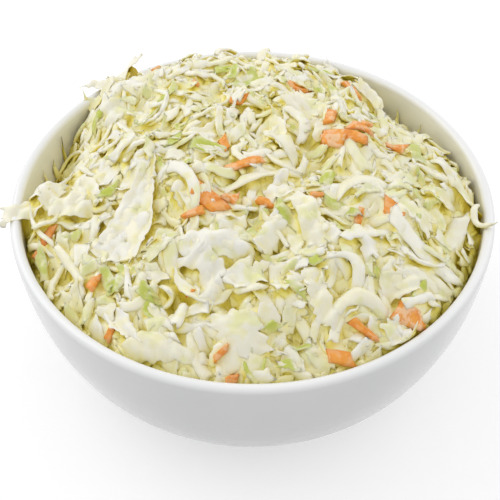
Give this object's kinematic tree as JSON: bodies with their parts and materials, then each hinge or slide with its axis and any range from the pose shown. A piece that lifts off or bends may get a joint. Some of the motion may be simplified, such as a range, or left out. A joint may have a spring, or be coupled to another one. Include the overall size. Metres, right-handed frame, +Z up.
{
  "type": "bowl of coleslaw",
  "caption": "Round white porcelain bowl on a low foot ring, heaped with dressed coleslaw of shredded cabbage and carrot.",
  "frame": {"origin": "centre of the foot ring's resting plane", "axes": "+Z up out of the bowl; the pictured side faces -Y, with +X to its right"},
  "size_m": [0.16, 0.16, 0.0878],
  "materials": {
    "porcelain": "white glaze, smooth gloss",
    "dressed_slaw": "moist pale cabbage in a thin cream dressing",
    "carrot": "moist orange carrot shreds"
  },
  "bodies": {
    "root": {"bowl": "porcelain", "coleslaw_heap": "dressed_slaw"}
  },
  "joints": []
}
